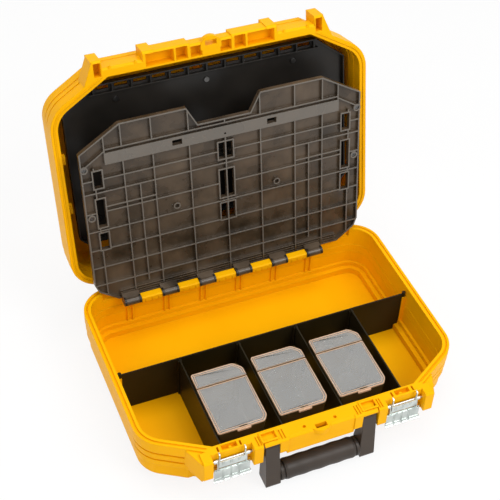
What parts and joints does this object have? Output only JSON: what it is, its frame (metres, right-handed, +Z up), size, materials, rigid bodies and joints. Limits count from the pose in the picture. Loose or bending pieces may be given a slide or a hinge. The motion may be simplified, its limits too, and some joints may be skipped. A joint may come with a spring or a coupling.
{
  "type": "hard tool case",
  "caption": "Hard plastic tool case with a hinged lid, spring-steel draw latches, swinging carry handle, fold-down ribbed leaf, lift-out dividers and lidded small-parts bins.",
  "frame": {"origin": "on the floor under the base, midway between the base's front and rear walls, in its plane of symmetry", "axes": "+X to the right seen from the front, +Y back towards the lid's hinge, +Z up"},
  "size_m": [0.46, 0.4899, 0.4228],
  "materials": {
    "shell_plastic": "semi-matt moulded, yellow",
    "leaf_plastic": "semi-matt moulded, warm black",
    "panel_plastic": "matt moulded, black",
    "handle_plastic": "satin moulded, warm black",
    "grip_rubber": "soft moulded grip",
    "latch_steel": "zinc-plated pressed sheet",
    "pin_steel": "plain wire and screws",
    "divider_plastic": "satin moulded, black",
    "bin_plastic": "frosted translucent"
  },
  "bodies": {
    "base": {"base_shell": "shell_plastic", "hinge_pins": "pin_steel", "leaf_hinge_rod": "pin_steel", "handle_pins": "pin_steel", "latch_left_pin": "pin_steel", "latch_right_pin": "pin_steel"},
    "lid": {"lid_shell": "shell_plastic", "lid_panel": "panel_plastic", "lid_panel_screws": "pin_steel", "tool_rail": "panel_plastic"},
    "leaf": {"leaf_panel": "leaf_plastic", "leaf_screws": "pin_steel"},
    "handle": {"handle_bail": "handle_plastic", "handle_grip": "grip_rubber"},
    "long_divider": {"long_divider": "divider_plastic"},
    "latch_left": {"latch_left_lever": "latch_steel", "latch_left_hook_pin": "pin_steel"},
    "latch_left_hook": {"latch_left_hook": "latch_steel"},
    "latch_right": {"latch_right_lever": "latch_steel", "latch_right_hook_pin": "pin_steel"},
    "latch_right_hook": {"latch_right_hook": "latch_steel"},
    "cross_divider_1": {"cross_divider_1": "divider_plastic"},
    "cross_divider_2": {"cross_divider_2": "divider_plastic"},
    "cross_divider_3": {"cross_divider_3": "divider_plastic"},
    "cross_divider_4": {"cross_divider_4": "divider_plastic"},
    "bin_1": {"bin_1_cup": "bin_plastic"},
    "bin_1_lid": {"bin_1_lid": "bin_plastic"},
    "bin_2": {"bin_2_cup": "bin_plastic"},
    "bin_2_lid": {"bin_2_lid": "bin_plastic"},
    "bin_3": {"bin_3_cup": "bin_plastic"},
    "bin_3_lid": {"bin_3_lid": "bin_plastic"}
  },
  "joints": [
    {"name": "lid_hinge", "type": "hinge", "parent": "base", "child": "lid", "pos_m": [0, 0.166, 0.086], "axis": [-1, 0, 0], "range_deg": [-102.4, 0]},
    {"name": "leaf_hinge", "type": "hinge", "parent": "base", "child": "leaf", "pos_m": [0, 0.135, 0.0747], "axis": [-1, 0, 0], "range_deg": [-99.32, 0]},
    {"name": "handle_swing", "type": "hinge", "parent": "base", "child": "handle", "pos_m": [0, -0.1665, 0.0725], "axis": [-1, 0, 0], "range_deg": [0, 77]},
    {"name": "latch_left_swing", "type": "hinge", "parent": "base", "child": "latch_left", "pos_m": [-0.1235, -0.1661, 0.0725], "axis": [-1, 0, 0], "range_deg": [0, 105]},
    {"name": "latch_left_hook_swing", "type": "hinge", "parent": "latch_left", "child": "latch_left_hook", "pos_m": [-0.1235, -0.1672, 0.062], "axis": [1, 0, 0], "range_deg": [0, 105]},
    {"name": "latch_right_swing", "type": "hinge", "parent": "base", "child": "latch_right", "pos_m": [0.1235, -0.1661, 0.0725], "axis": [-1, 0, 0], "range_deg": [0, 105]},
    {"name": "latch_right_hook_swing", "type": "hinge", "parent": "latch_right", "child": "latch_right_hook", "pos_m": [0.1235, -0.1672, 0.062], "axis": [1, 0, 0], "range_deg": [0, 105]},
    {"name": "long_divider_lift", "type": "slide", "parent": "base", "child": "long_divider", "axis": [0, 0, 1], "range_m": [0, 0.085]},
    {"name": "cross_divider_1_lift", "type": "slide", "parent": "long_divider", "child": "cross_divider_1", "axis": [0, 0, 1], "range_m": [0, 0.085]},
    {"name": "cross_divider_2_lift", "type": "slide", "parent": "long_divider", "child": "cross_divider_2", "axis": [0, 0, 1], "range_m": [0, 0.085]},
    {"name": "cross_divider_3_lift", "type": "slide", "parent": "long_divider", "child": "cross_divider_3", "axis": [0, 0, 1], "range_m": [0, 0.085]},
    {"name": "cross_divider_4_lift", "type": "slide", "parent": "long_divider", "child": "cross_divider_4", "axis": [0, 0, 1], "range_m": [0, 0.085]},
    {"name": "bin_1_lift", "type": "slide", "parent": "base", "child": "bin_1", "axis": [0, 0, 1], "range_m": [0, 0.18]},
    {"name": "bin_1_lid_hinge", "type": "hinge", "parent": "bin_1", "child": "bin_1_lid", "pos_m": [0, -0.05485, 0.0803], "axis": [-1, 0, 0], "range_deg": [0, 100]},
    {"name": "bin_2_lift", "type": "slide", "parent": "base", "child": "bin_2", "axis": [0, 0, 1], "range_m": [0, 0.18]},
    {"name": "bin_2_lid_hinge", "type": "hinge", "parent": "bin_2", "child": "bin_2_lid", "pos_m": [0, -0.05485, 0.0803], "axis": [-1, 0, 0], "range_deg": [0, 100]},
    {"name": "bin_3_lift", "type": "slide", "parent": "base", "child": "bin_3", "axis": [0, 0, 1], "range_m": [0, 0.18]},
    {"name": "bin_3_lid_hinge", "type": "hinge", "parent": "bin_3", "child": "bin_3_lid", "pos_m": [0, -0.05485, 0.0803], "axis": [-1, 0, 0], "range_deg": [0, 100]}
  ],
  "couplings": [
    {"joint": "leaf_hinge", "follows": "lid_hinge", "ratio": 0.96976},
    {"joint": "latch_left_hook_swing", "follows": "latch_left_swing", "ratio": 1},
    {"joint": "latch_right_hook_swing", "follows": "latch_right_swing", "ratio": 1}
  ]
}
